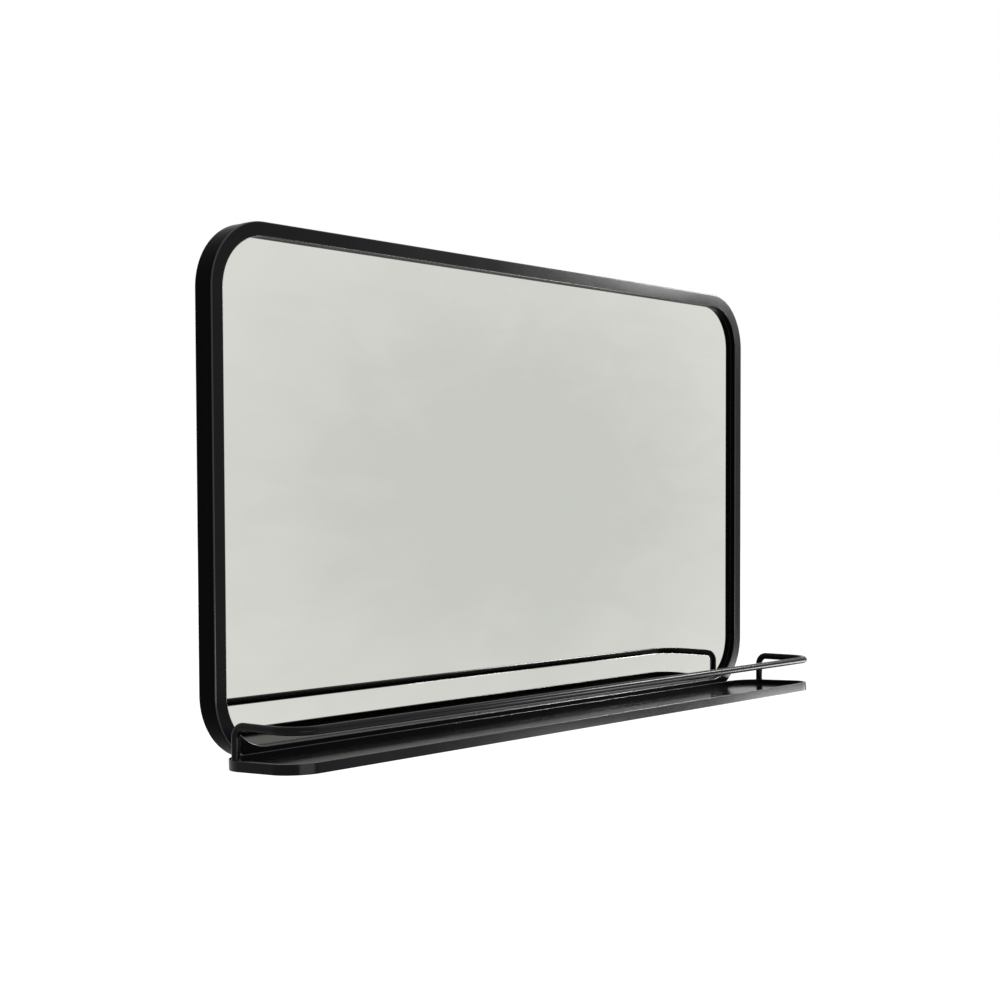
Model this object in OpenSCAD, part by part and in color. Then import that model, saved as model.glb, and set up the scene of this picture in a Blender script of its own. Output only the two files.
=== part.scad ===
// Wall mirror in a rounded steel frame, with a tray shelf and a guard rail.
// Millimetres. X runs to the right, Y into the wall and Z up. The wall is the plane Y = 0.
// The origin lies on the wall, midway between the two hanging holes.

/* [Frame] */
// Width of the frame
frame_w = 900; // [700:1:1200]
// Height of the frame
frame_h = 500; // [400:1:800]
// Depth from the wall to the front face
frame_depth = 23; // [22:0.5:30]
// Outer corner radius of the frame
corner_r = 65; // [50:1:90]
// Width of the face that surrounds the glass
face_w = 14; // [12:0.5:20]
// Radius of the softened edges of the face
edge_r = 1; // [0.4:0.1:1.5]

/* [Front ring] */
// Depth of the ring at its outside
ring_depth = 8.5; // [8:0.25:9]
// Thickness of the lip in front of the glass
lip_t = 6.8; // [6:0.1:7]
// Width of the outer land that runs round the rebate
land_w = 5.5; // [4:0.5:6]

/* [Rear band] */
// Wall of the band
band_t = 2; // [1.5:0.1:2.5]
// How far the band stands back from the side of the ring
band_step = 0.5; // [0.2:0.1:1]

/* [Glass and back] */
// Thickness of the glazing tape
tape_t = 0.7; // [0.4:0.1:0.8]
// Thickness of the glass
glass_t = 4; // [3:0.5:4]
// Thickness of the foam sheet behind the glass
foam_t = 1; // [0.5:0.1:1]
// Thickness of the back board
board_t = 4; // [3:0.5:4]
// Clearance between the glass and the rebate
glass_gap = 0.5; // [0.3:0.1:1]
// Clearance between the back board and the band
board_gap = 1; // [0.5:0.1:1.5]

/* [Board lugs and screws] */
// Width of a lug along the frame
lug_w = 16; // [12:1:20]
// How far a lug reaches over the board
lug_reach = 15; // [12:1:18]
// Sheet thickness of a lug
lug_t = 1.5; // [1:0.1:1.5]
// Depth of the leg that is welded to the band
lug_leg = 4.5; // [3:0.5:5]
// Number of lugs along the top, and along the bottom
top_lug_count = 5; // [3:2:5]
// Number of lugs along the left side, and along the right side
side_lug_count = 2; // [1:1:3]
// Diameter of a board screw
screw_d = 2.9; // [2.5:0.1:3.2]
// Diameter of the head of a board screw
screw_head_d = 5.6; // [5:0.1:6]
// Height of the head of a board screw
screw_head_h = 1.8; // [1.5:0.1:2]
// Depth to which a screw enters the board
screw_bite = 2.6; // [1.5:0.1:2.8]

/* [Hangers] */
// Distance from the side of the frame in to a hanging hole
hang_inset = 150; // [120:5:200]
// Distance from the top of the frame down to the hanging holes
hang_drop = 21; // [19:0.5:26]
// Width of a hanger plate
hanger_w = 60; // [40:1:70]
// Sheet thickness of a hanger plate
hanger_t = 2; // [1.5:0.1:2]
// Length of the plate below the centre of its hanging hole
hanger_tail = 12; // [10:1:16]
// Depth of the flange that is welded under the top of the band
hanger_flange = 6; // [4:0.5:6]
// Diameter of the hole that a screw head passes through
hang_hole_d = 10; // [9:0.5:11]
// Width of the slot that the screw then rests in
hang_slot_w = 5; // [4:0.5:5.5]
// Height of the slot above the centre of the hole
hang_slot_up = 8; // [7:0.5:9]

/* [Tray] */
// How far each end of the tray stands out past the side of the frame
tray_over = 4; // [0:0.5:20]
// How far the tray stands out from the face of the frame
tray_out = 107; // [90:1:140]
// Radius of the two front corners of the tray
tray_front_r = 30; // [25:1:50]
// Radius of the two rear corners of the tray
tray_rear_r = 34; // [25:1:38]
// Height of the rim
rim_h = 10; // [9:0.5:11]
// Thickness of the rim
rim_t = 3; // [2:0.5:4]
// Height of the rim's lower edge above the bottom of the frame, where it meets the frame
rim_lift = -1; // [-2:0.5:3]
// Angle in degrees by which the tray rises towards its front
tray_rise = 2; // [0:0.5:4]
// Depth of the floor below the top of the rim
floor_sink = 5; // [4:0.5:6]
// Thickness of the floor
floor_t = 1.5; // [1:0.1:2]

/* [Tabs of the floor] */
// Number of tabs that pass through the rim into the frame
tab_count = 5; // [3:1:5]
// Distance from the side of the frame in to the first tab
tab_inset = 130; // [100:5:200]
// Width of a tab
tab_w = 24; // [16:1:30]
// Depth to which a tab enters the frame
tab_bite = 2.5; // [1.5:0.5:4]
// Clearance round the floor and its tabs
tab_gap = 0.1; // [0.05:0.05:0.3]

/* [Guard rail] */
// Diameter of the rod
rail_d = 8; // [6:0.5:9]
// Distance from the outside of the rim in to the middle of the rod
rail_inset = 3; // [1.5:0.5:4]
// Height of the middle of the rod above the top of the rim at its front
rail_rise = 28; // [24:1:50]
// Bend radius of the rod at the top of a post
rail_bend_r = 10; // [9:0.5:14]
// How far each post stands behind the run-out of the rear corner
post_lead = 6.5; // [4:0.5:12]
// Height and width of the weld fillet at the foot of a post
weld = 1; // [0.6:0.1:1.5]

/* [Hidden] */
$fn = 128;

// Colours of the finishes
powder_black = [0.09, 0.09, 0.1];
mirror_silver = [0.82, 0.82, 0.8];
tape_grey = [0.3, 0.3, 0.31];
foam_white = [0.85, 0.85, 0.83];
board_brown = [0.42, 0.3, 0.2];
zinc = [0.7, 0.71, 0.72];

// Round holes are cut with this play over the screw that they take
screw_play = 0.1;
// A cut runs past the surface that it opens by this much
past = 1;

// Heights above the wall of what lies in the frame, worked from the face back
lip_back = frame_depth - lip_t;
land_back = frame_depth - ring_depth;
glass_front = lip_back - tape_t;
glass_back = glass_front - glass_t;
foam_back = glass_back - foam_t;
board_back = foam_back - board_t;
lug_back = board_back - lug_t;

// Insets from the outside of the frame
band_inside = band_step + band_t;
glass_inset = land_w + glass_gap;
foam_inset = glass_inset + glass_gap;
board_inset = band_inside + board_gap;
tape_outer = glass_inset + glass_gap;
tape_inner = face_w - glass_gap;

// Height of the frame's bottom edge in the part's own frame
frame_bottom = hang_drop - frame_h;
// Middle of a lug's hole, measured in from the inside of the band
lug_hole_in = lug_reach * 0.6;

// Distance between the two hanging holes, and between the first and the last tab
hang_spacing = frame_w - 2 * hang_inset;
tab_span = frame_w - 2 * tab_inset;

// Tray heights above the bottom of the frame where it meets the frame, and its plan
rim_top = rim_lift + rim_h;
floor_top = rim_top - floor_sink;
floor_bottom = floor_top - floor_t;
tray_w = frame_w + 2 * tray_over;
tray_back = -frame_depth;
tray_front = tray_back - tray_out;
floor_inset = rim_t + tab_gap;
tab_length = floor_inset + tab_bite;
tab_cut_h = floor_t + 2 * tab_gap;

// Guard rail plan and heights above the bottom of the frame
rail_x = tray_w / 2 - rail_inset;
rail_front = tray_front + rail_inset;
rail_corner_r = tray_front_r - rail_inset;
rail_z = rim_top + tray_out * sin(tray_rise) + rail_rise;
post_y = tray_back - tray_rear_r + post_lead;
post_foot = rim_top + (tray_back - post_y) * tan(tray_rise);

// Points of an arc round a centre, from one angle to another
function arc(centre, r, from, to, steps = 5) =
    [for (i = [0:steps]) let (a = from + (to - from) * i / steps) centre + r * [cos(a), sin(a)]];

// Positions of n things spread evenly over a length, about its middle
function spread(n, length) = [for (i = [0:n - 1]) n == 1 ? 0 : length * (i / (n - 1) - 0.5)];

// Stands the frame's pieces up: they are drawn lying on their back on the wall plane,
// with the top of the frame towards +Y and their height as the distance from the wall
module upright() {
    rotate([90, 0, 0])
        translate([0, frame_bottom, 0])
            children();
}

// Rectangle with round corners: r_low at its lower two corners and r_high at its upper two
module round_rect(x0, x1, y0, y1, r_low, r_high) {
    polygon([[x0 + r_low, y0], [x1 - r_low, y0], [x1, y0 + r_low], [x1, y1 - r_high],
             [x1 - r_high, y1], [x0 + r_high, y1], [x0, y1 - r_high], [x0, y0 + r_low]]);
    for (x = [x0 + r_low, x1 - r_low])
        translate([x, y0 + r_low])
            circle(r = r_low);
    for (x = [x0 + r_high, x1 - r_high])
        translate([x, y1 - r_high])
            circle(r = r_high);
}

// One straight run of a loop: a profile whose X points out of the loop and whose Y is the height
module run(from, turn, length) {
    translate(from)
        rotate([90, 0, turn])
            linear_extrude(length)
                children();
}

// One quarter-round corner of a loop
module corner(centre, turn, r) {
    translate(centre)
        rotate([0, 0, turn])
            rotate_extrude(angle = 90)
                translate([r, 0])
                    children();
}

// Closed loop of a profile round the outline that round_rect has
module loop(x0, x1, y0, y1, r_low, r_high) {
    run([x1 - r_low, y0, 0], -90, x1 - x0 - 2 * r_low) children();
    run([x0 + r_high, y1, 0], 90, x1 - x0 - 2 * r_high) children();
    run([x1, y1 - r_high, 0], 0, y1 - y0 - r_low - r_high) children();
    run([x0, y0 + r_low, 0], 180, y1 - y0 - r_low - r_high) children();
    corner([x1 - r_high, y1 - r_high, 0], 0, r_high) children();
    corner([x0 + r_high, y1 - r_high, 0], 90, r_high) children();
    corner([x0 + r_low, y0 + r_low, 0], 180, r_low) children();
    corner([x1 - r_low, y0 + r_low, 0], 270, r_low) children();
}

// Loop of a profile round the frame's outer outline
module frame_loop() {
    loop(-frame_w / 2, frame_w / 2, 0, frame_h, corner_r, corner_r)
        children();
}

// Flat panel that follows the frame's outline at an inset, between two heights above the wall
module frame_panel(inset, low, high) {
    translate([0, 0, low])
        linear_extrude(high - low)
            round_rect(-frame_w / 2 + inset, frame_w / 2 - inset, inset, frame_h - inset,
                       corner_r - inset, corner_r - inset);
}

// Tilts its children about the line where the top of the rim meets the face of the frame.
// Their heights are above the bottom of the frame
module on_tray() {
    translate([0, tray_back, frame_bottom + rim_top])
        rotate([-tray_rise, 0, 0])
            translate([0, -tray_back, -rim_top])
                children();
}

// Steel ring round the glass, with softened face edges and a rebate for the glass behind its lip
module front_ring() {
    color(powder_black)
        difference() {
            upright()
                frame_loop()
                    polygon(concat(
                        arc([-edge_r, frame_depth - edge_r], edge_r, 0, 90),
                        arc([-face_w + edge_r, frame_depth - edge_r], edge_r, 90, 180),
                        [[-face_w, lip_back], [-land_w, lip_back], [-land_w, land_back], [0, land_back]]));
            // Pockets in the face for the tabs of the tray floor
            on_tray()
                for (x = spread(tab_count, tab_span))
                    translate([x, tray_back, floor_top - floor_t / 2])
                        cube([tab_w + 2 * tab_gap, 2 * (tab_bite + tab_gap), tab_cut_h], center = true);
        }
}

// Steel band behind the ring, set back a little so that a seam shows at the side
module rear_band() {
    color(powder_black)
        upright()
            frame_loop()
                translate([-band_inside, 0])
                    square([band_t, land_back]);
}

// Foam tape between the lip and the glass
module glazing_tape() {
    color(tape_grey)
        upright()
            frame_loop()
                translate([-tape_inner, glass_front])
                    square([tape_inner - tape_outer, tape_t]);
}

// Silvered glass with its corners rounded to suit the frame
module mirror_glass() {
    color(mirror_silver)
        upright()
            frame_panel(glass_inset, glass_back, glass_front);
}

// Foam sheet between the glass and the back board
module foam_backing() {
    color(foam_white)
        upright()
            frame_panel(foam_inset, foam_back, glass_back);
}

// Places its children at each lug, with X along the frame and Y out towards the band's inside
module at_lugs() {
    straight_w = frame_w - 2 * corner_r - lug_w;
    straight_h = frame_h - 2 * corner_r - lug_w;
    for (x = spread(top_lug_count, straight_w)) {
        translate([x, frame_h - band_inside, 0])
            children();
        translate([x, band_inside, 0])
            rotate([0, 0, 180])
                children();
    }
    for (y = spread(side_lug_count, straight_h / 2)) {
        translate([frame_w / 2 - band_inside, frame_h / 2 + y, 0])
            rotate([0, 0, -90])
                children();
        translate([-frame_w / 2 + band_inside, frame_h / 2 + y, 0])
            rotate([0, 0, 90])
                children();
    }
}

// Hardboard panel that presses the foam and the glass against the tape
module back_board() {
    color(board_brown)
        upright()
            difference() {
                frame_panel(board_inset, board_back, foam_back);
                at_lugs()
                    translate([0, -lug_hole_in, board_back - past])
                        cylinder(d = screw_d + screw_play, h = screw_bite + screw_play + past);
            }
}

// Angle lug: one leg lies on the board, the other is welded to the inside of the band
module lug() {
    difference() {
        union() {
            translate([-lug_w / 2, -lug_reach, lug_back])
                cube([lug_w, lug_reach, lug_t]);
            translate([-lug_w / 2, -lug_t, board_back - lug_leg])
                cube([lug_w, lug_t, lug_leg]);
        }
        translate([0, -lug_hole_in, lug_back - past])
            cylinder(d = screw_d + 2 * screw_play, h = lug_t + 2 * past);
    }
}

// Lugs round the frame
module board_lugs() {
    color(powder_black)
        upright()
            at_lugs()
                lug();
}

// Pan-head screws through the lugs into the board
module board_screws() {
    color(zinc)
        upright()
            at_lugs()
                translate([0, -lug_hole_in, lug_back]) {
                    cylinder(d = screw_d, h = lug_t + screw_bite);
                    translate([0, 0, -screw_head_h])
                        cylinder(d = screw_head_d, h = screw_head_h);
                }
}

// Keyhole hanger: a plate level with the wall side and a flange welded under the top of the band
module hanger(x) {
    plate_low = frame_h - hang_drop - hanger_tail;
    plate_high = frame_h - band_inside;
    color(powder_black)
        upright()
            translate([x, 0, 0])
                difference() {
                    union() {
                        translate([-hanger_w / 2, plate_low, 0])
                            cube([hanger_w, plate_high - plate_low, hanger_t]);
                        translate([-hanger_w / 2, plate_high - hanger_t, 0])
                            cube([hanger_w, hanger_t, hanger_flange]);
                    }
                    translate([0, frame_h - hang_drop, -past]) {
                        cylinder(d = hang_hole_d, h = hanger_t + 2 * past);
                        translate([-hang_slot_w / 2, 0, 0])
                            cube([hang_slot_w, hang_slot_up, hanger_t + 2 * past]);
                        translate([0, hang_slot_up, 0])
                            cylinder(d = hang_slot_w, h = hanger_t + 2 * past);
                    }
                }
}

module hanger_left() {
    hanger(-hang_spacing / 2);
}

module hanger_right() {
    hanger(hang_spacing / 2);
}

// Floor of the tray, with tabs that pass through the rim into the face of the frame
module tray_floor() {
    color(powder_black)
        on_tray()
            translate([0, 0, floor_bottom]) {
                linear_extrude(floor_t)
                    round_rect(-tray_w / 2 + floor_inset, tray_w / 2 - floor_inset,
                               tray_front + floor_inset, tray_back - floor_inset,
                               tray_front_r - floor_inset, tray_rear_r - floor_inset);
                for (x = spread(tab_count, tab_span))
                    translate([x - tab_w / 2, tray_back - floor_inset - past, 0])
                        cube([tab_w, tab_length + past, floor_t]);
            }
}

// Flat-bar rim round the tray, softened at its top edges, with slots for the tabs
module tray_rim() {
    soft = edge_r / 2;
    color(powder_black)
        on_tray()
            difference() {
                loop(-tray_w / 2, tray_w / 2, tray_front, tray_back, tray_front_r, tray_rear_r)
                    polygon(concat(
                        arc([-soft, rim_top - soft], soft, 0, 90, 3),
                        arc([-rim_t + soft, rim_top - soft], soft, 90, 180, 3),
                        [[-rim_t, rim_lift], [0, rim_lift]]));
                for (x = spread(tab_count, tab_span))
                    translate([x, tray_back - rim_t / 2, floor_top - floor_t / 2])
                        cube([tab_w + 2 * tab_gap, rim_t + 2 * past, tab_cut_h], center = true);
            }
}

// Half of the guard rail, from the middle of its front run to the foot of its post at +X
module half_rail() {
    side_back = post_y - rail_bend_r;
    side_front = rail_front + rail_corner_r;
    // Front run
    translate([0, rail_front, rail_z])
        rotate([0, 90, 0])
            cylinder(d = rail_d, h = rail_x - rail_corner_r);
    // Front corner
    translate([rail_x - rail_corner_r, side_front, rail_z])
        rotate([0, 0, -90])
            rotate_extrude(angle = 90)
                translate([rail_corner_r, 0])
                    circle(d = rail_d);
    // Side run
    translate([rail_x, side_back, rail_z])
        rotate([90, 0, 0])
            cylinder(d = rail_d, h = side_back - side_front);
    // Bend at the top of the post
    translate([rail_x, side_back, rail_z - rail_bend_r])
        rotate([90, 0, 90])
            rotate_extrude(angle = 90)
                translate([rail_bend_r, 0])
                    circle(d = rail_d);
    // Post and its weld, which both start a little too low and are cut off level with the rim
    translate([rail_x, post_y, post_foot - weld / 2])
        cylinder(d = rail_d, h = rail_z - rail_bend_r - post_foot + weld / 2);
    translate([rail_x, post_y, post_foot - weld / 2])
        cylinder(d1 = rail_d + 3 * weld, d2 = rail_d, h = 1.5 * weld);
}

// Bent rod that keeps things on the shelf
module guard_rail() {
    color(powder_black)
        difference() {
            translate([0, 0, frame_bottom]) {
                half_rail();
                mirror([1, 0, 0])
                    half_rail();
            }
            on_tray()
                translate([-tray_w, tray_front, rim_top - rim_h])
                    cube([2 * tray_w, tray_out, rim_h]);
        }
}

front_ring();
rear_band();
glazing_tape();
mirror_glass();
foam_backing();
back_board();
board_lugs();
board_screws();
hanger_left();
hanger_right();
tray_floor();
tray_rim();
guard_rail();
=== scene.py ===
"""Wide wall mirror in a black steel frame, with a tray shelf and a guard rail along its foot.

Everything is in metres in the part's own frame: X to the right, Y into the wall, Z up. The wall is
the plane Y = 0 and the origin lies midway between the two hanging holes.
"""

import logging
from collections.abc import Callable, Iterable, Sequence
from dataclasses import dataclass
from enum import Enum, IntEnum
from math import radians, sin, tan

import bmesh
import bpy
from mathutils import Matrix, Vector

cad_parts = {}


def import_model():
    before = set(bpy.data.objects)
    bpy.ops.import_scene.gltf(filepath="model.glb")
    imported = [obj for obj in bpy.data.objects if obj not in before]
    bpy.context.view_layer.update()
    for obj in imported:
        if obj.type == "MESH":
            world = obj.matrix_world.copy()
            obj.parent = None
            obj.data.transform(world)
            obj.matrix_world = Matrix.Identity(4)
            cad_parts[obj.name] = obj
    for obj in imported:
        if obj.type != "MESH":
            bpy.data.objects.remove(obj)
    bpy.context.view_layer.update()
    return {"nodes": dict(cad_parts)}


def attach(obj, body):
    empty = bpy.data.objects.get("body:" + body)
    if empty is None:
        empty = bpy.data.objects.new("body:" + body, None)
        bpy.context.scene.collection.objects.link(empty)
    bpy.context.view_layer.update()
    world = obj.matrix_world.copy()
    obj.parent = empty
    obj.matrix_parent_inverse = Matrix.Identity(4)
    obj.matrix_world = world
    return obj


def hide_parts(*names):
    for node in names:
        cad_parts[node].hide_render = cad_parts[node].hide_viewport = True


LOG = logging.getLogger("mirror_with_shelf")

MM = 0.001
QUARTER = radians(90)
Point2 = tuple[float, float]
Triple = tuple[float, float, float]
Colour = Triple
Edges = Sequence[bmesh.types.BMEdge]
Socket = bpy.types.NodeSocket

# Parts of a noise's range that are stretched over the whole, so that both ends of it show.
NOISE_MIDDLE: Point2 = (0.35, 0.65)
NOISE_MOST: Point2 = (0.3, 0.7)


class Stance(Enum):
    """How a loop lies: upright round the mirror, or level for the tray, which is tilted later."""

    UPRIGHT = "upright"
    LEVEL = "level"


class Facing(Enum):
    """The way that a lug's foot points from the side of the frame that it is welded to."""

    UP = 0.0
    RIGHT = 90.0
    DOWN = 180.0
    LEFT = 270.0


class Coat(IntEnum):
    """The number of each coat among a steel piece's materials."""

    MAIN = 0
    ARRIS = 1
    # The walls' coat, whose darker colour is painted shade.
    WALL = 2


# ---- Finishes ----


class Shading:
    """A new material with one Principled shader, and short ways to wire procedural detail to it."""

    def __init__(self, name: str) -> None:
        """Makes the material.

        Args:
            name: The material's name.
        """
        self.material = bpy.data.materials.new(name)
        self.material.use_nodes = True
        self.nodes = self.material.node_tree.nodes
        self.links = self.material.node_tree.links
        self.shader = self.nodes["Principled BSDF"]
        self.place = self.nodes.new("ShaderNodeTexCoord").outputs["Object"]

    def set(self, **values: float | Colour) -> None:
        """Sets constants on the shader's own sockets.

        Args:
            **values: Socket names in lower case with underscores, and their values.
        """
        sockets = {s.name.lower().replace(" ", "_"): s for s in self.shader.inputs}
        for name, value in values.items():
            sockets[name].default_value = (*value, 1.0) if isinstance(value, tuple) else value

    def stretch(self, scale: Triple, shift: Triple = (0.0, 0.0, 0.0)) -> Socket:
        """Object coordinates with each axis scaled, and then shifted.

        Args:
            scale: The scale along X, Y and Z.
            shift: The shift along X, Y and Z.

        Returns:
            The mapped coordinates.
        """
        mapping = self.nodes.new("ShaderNodeMapping")
        mapping.inputs["Location"].default_value = shift
        mapping.inputs["Scale"].default_value = scale
        self.links.new(self.place, mapping.inputs["Vector"])
        return mapping.outputs["Vector"]

    def noise(
        self, scale: float, detail: float = 3.0, at: Socket | None = None, distortion: float = 0.0
    ) -> Socket:
        """Noise on the object's own coordinates.

        Args:
            scale: Cells per metre.
            detail: Octaves of detail.
            at: Coordinates to read in place of the plain ones.
            distortion: How far the noise is warped.

        Returns:
            The noise's value, about 0 to 1.
        """
        node = self.nodes.new("ShaderNodeTexNoise")
        node.inputs["Scale"].default_value = scale
        node.inputs["Detail"].default_value = detail
        node.inputs["Distortion"].default_value = distortion
        self.links.new(at or self.place, node.inputs["Vector"])
        return node.outputs["Fac"]

    def ranged(self, value: Socket, reads: Point2, gives: Point2 = (0.0, 1.0)) -> Socket:
        """A value brought from one range to another, and kept inside it.

        Args:
            value: The value to map.
            reads: The range read.
            gives: The range given.

        Returns:
            The mapped value.
        """
        node = self.nodes.new("ShaderNodeMapRange")
        for name, number in zip(("From Min", "From Max", "To Min", "To Max"), (*reads, *gives)):
            node.inputs[name].default_value = number
        self.links.new(value, node.inputs["Value"])
        return node.outputs["Result"]

    def blend(
        self, factor: Socket, first: Socket | Colour, second: Colour, way: str = "MIX"
    ) -> Socket:
        """A colour between two.

        Args:
            factor: 0 for the first colour and 1 for the second.
            first: The first colour.
            second: The second colour.
            way: How the second goes over the first.

        Returns:
            The blended colour.
        """
        node = self.nodes.new("ShaderNodeMix")
        node.data_type = "RGBA"
        node.blend_type = way
        if isinstance(first, tuple):
            node.inputs["A"].default_value = (*first, 1.0)
        else:
            self.links.new(first, node.inputs["A"])
        node.inputs["B"].default_value = (*second, 1.0)
        self.links.new(factor, node.inputs["Factor"])
        return node.outputs["Result"]

    def wire(self, value: Socket, socket: str) -> None:
        """Links a value to one of the shader's sockets.

        Args:
            value: What to link.
            socket: The name of the shader's socket.
        """
        self.links.new(value, self.shader.inputs[socket])

    def bump(self, height: Socket, strength: float, distance: float) -> None:
        """Roughens the surface's normal.

        Args:
            height: The height map.
            strength: How strongly it shows.
            distance: The height of its peaks, in metres.
        """
        node = self.nodes.new("ShaderNodeBump")
        node.inputs["Strength"].default_value = strength
        node.inputs["Distance"].default_value = distance
        self.links.new(height, node.inputs["Height"])
        self.wire(node.outputs["Normal"], "Normal")


@dataclass(frozen=True)
class PowderCoat:
    """Black powder coat: a fine orange peel, and patches that are a little more or less matt.

    Attributes:
        name: The material's name.
        pit: The colour in the dips of the coat.
        peak: The colour on its peaks.
        roughness: The lowest and highest roughness.
        gloss: How much a face-on surface reflects.
        peel: Grains of the orange peel per metre.
        patch: Patches per metre.
        relief: How strongly the peel shows.
        height: The height of the peel.
    """

    name: str = "black_powder_coat"
    pit: Colour = (0.0030, 0.0029, 0.0038)
    peak: Colour = (0.0054, 0.0051, 0.0066)
    roughness: Point2 = (0.19, 0.23)
    gloss: float = 0.075
    peel: float = 1400.0
    patch: float = 14.0
    relief: float = 0.12
    height: float = 0.05 * MM

    def make(self) -> bpy.types.Material:
        """Makes the material.

        Returns:
            The material.
        """
        look = Shading(self.name)
        look.set(metallic=0.0, specular_ior_level=self.gloss)
        grain = look.noise(self.peel, detail=2.0)
        patches = look.noise(self.patch, detail=4.0)
        look.wire(look.blend(look.ranged(grain, NOISE_MIDDLE), self.pit, self.peak), "Base Color")
        look.wire(look.ranged(patches, NOISE_MIDDLE, self.roughness), "Roughness")
        look.bump(grain, self.relief, self.height)
        return look.material


@dataclass(frozen=True)
class MirrorSilver:
    """Silvered glass seen from the front: a mirror whose tint rises towards its edge, a painted
    brightening of its reflection.

    Attributes:
        name: The material's name.
        middle: The tint in the middle of the pane.
        border: The tint near its edge, raised as a painted brightening of the reflection.
        half_size: Half the pane's width and height, in metres.
        below: How far its middle lies below the hanging holes, in metres.
        brightening: Where the painted brightening starts and where it is full, as shares of the
            half size.
        edge_wobble: How far stretched noise shifts the painted brightening, as a share of the half
            size.
    """

    name: str = "mirror_silver"
    middle: Colour = (0.57, 0.578, 0.54)
    border: Colour = (0.672, 0.682, 0.637)
    half_size: Point2 = (0.444, 0.244)
    below: float = 0.229
    brightening: Point2 = (0.45, 1.25)
    edge_wobble: float = 0.12

    def make(self) -> bpy.types.Material:
        """Makes the material.

        Returns:
            The material.
        """
        look = Shading(self.name)
        look.set(metallic=1.0, roughness=0.0)
        half_x, half_z = self.half_size
        # Painted brightening of the reflection: the tint rises with the distance from the middle,
        # its edge shifted by noise.
        length = look.nodes.new("ShaderNodeVectorMath")
        length.operation = "LENGTH"
        share = look.stretch((1 / half_x, 0.0, 1 / half_z), (0.0, 0.0, self.below / half_z))
        look.links.new(share, length.inputs[0])
        wobble_noise = look.noise(9.0, detail=5.0, at=look.stretch((1.0, 1.0, 2.6)), distortion=0.6)
        uneven = look.nodes.new("ShaderNodeMath")
        look.links.new(length.outputs["Value"], uneven.inputs[0])
        wobble = look.ranged(wobble_noise, NOISE_MOST, (-self.edge_wobble, self.edge_wobble))
        look.links.new(wobble, uneven.inputs[1])
        brightened = look.ranged(uneven.outputs[0], self.brightening)
        look.wire(look.blend(brightened, self.middle, self.border), "Base Color")
        return look.material


@dataclass(frozen=True)
class GroundGlass:
    """The ground edge of the pane: pale green and matt.

    Attributes:
        name: The material's name.
        deep: The colour in the ground marks.
        pale: The colour between them.
    """

    name: str = "ground_glass_edge"
    deep: Colour = (0.16, 0.25, 0.21)
    pale: Colour = (0.32, 0.44, 0.38)

    def make(self) -> bpy.types.Material:
        """Makes the material.

        Returns:
            The material.
        """
        look = Shading(self.name)
        look.set(roughness=0.38, specular_ior_level=0.5)
        marks = look.noise(scale=700.0, at=look.stretch((1.0, 9.0, 1.0)))
        look.wire(look.blend(marks, self.deep, self.pale), "Base Color")
        look.bump(marks, strength=0.2, distance=0.05 * MM)
        return look.material


@dataclass(frozen=True)
class Hardboard:
    """Brown pressed board: short fibres, darker specks and a faint sheen.

    Attributes:
        name: The material's name.
        dark: The colour of the deep fibres.
        light: The colour of the fibres on top.
        cloud: What the clouds in the board multiply its colour by.
        speck: The colour of the specks.
    """

    name: str = "brown_hardboard"
    dark: Colour = (0.150, 0.084, 0.042)
    light: Colour = (0.290, 0.180, 0.100)
    cloud: Colour = (0.62, 0.58, 0.55)
    speck: Colour = (0.070, 0.038, 0.020)

    def make(self) -> bpy.types.Material:
        """Makes the material.

        Returns:
            The material.
        """
        look = Shading(self.name)
        look.set(specular_ior_level=0.3)
        upright = look.stretch((1.0, 1.0, 0.35))
        fibres = look.noise(scale=420.0, detail=6.0, at=upright, distortion=1.4)
        clouds = look.ranged(look.noise(scale=16.0, detail=4.0), NOISE_MOST, (0.0, 0.35))
        specks = look.ranged(look.noise(scale=900.0, detail=1.0), (0.66, 0.72), (0.0, 0.8))
        body = look.blend(look.ranged(fibres, NOISE_MOST), self.dark, self.light)
        tone = look.blend(clouds, body, self.cloud, "MULTIPLY")
        look.wire(look.blend(specks, tone, self.speck), "Base Color")
        look.wire(look.ranged(fibres, reads=(0.2, 0.8), gives=(0.5, 0.72)), "Roughness")
        look.bump(fibres, strength=0.25, distance=0.1 * MM)
        return look.material


@dataclass(frozen=True)
class Foam:
    """Closed-cell foam, as a tape or a sheet, or a paint with so fine a grain.

    Attributes:
        name: The material's name.
        cell: The colour inside the cells.
        wall: The colour of the cell walls.
        cells: Cells per metre.
    """

    name: str
    cell: Colour
    wall: Colour
    cells: float = 2600.0

    def make(self) -> bpy.types.Material:
        """Makes the material.

        Returns:
            The material.
        """
        look = Shading(self.name)
        look.set(roughness=0.85, specular_ior_level=0.2)
        cells = look.nodes.new("ShaderNodeTexVoronoi")
        cells.inputs["Scale"].default_value = self.cells
        look.links.new(look.place, cells.inputs["Vector"])
        depth = look.ranged(cells.outputs["Distance"], reads=(0.0, 0.7))
        look.wire(look.blend(depth, self.wall, self.cell), "Base Color")
        look.bump(depth, strength=0.3, distance=-0.1 * MM)
        return look.material


@dataclass(frozen=True)
class ZincPlate:
    """Bright zinc on a steel screw, with faint turning marks and tarnish.

    Attributes:
        name: The material's name.
        bright: The colour of clean zinc.
        dull: The colour of tarnished zinc.
    """

    name: str = "zinc_plate"
    bright: Colour = (0.62, 0.63, 0.65)
    dull: Colour = (0.42, 0.42, 0.43)

    def make(self) -> bpy.types.Material:
        """Makes the material.

        Returns:
            The material.
        """
        look = Shading(self.name)
        look.set(metallic=1.0)
        tarnish = look.noise(scale=500.0, detail=4.0)
        dulled = look.ranged(tarnish, reads=(0.4, 0.7))
        look.wire(look.blend(dulled, self.bright, self.dull), "Base Color")
        look.wire(look.ranged(tarnish, NOISE_MOST, gives=(0.22, 0.42)), "Roughness")
        look.bump(look.noise(scale=2500.0), strength=0.1, distance=0.02 * MM)
        return look.material


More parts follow.
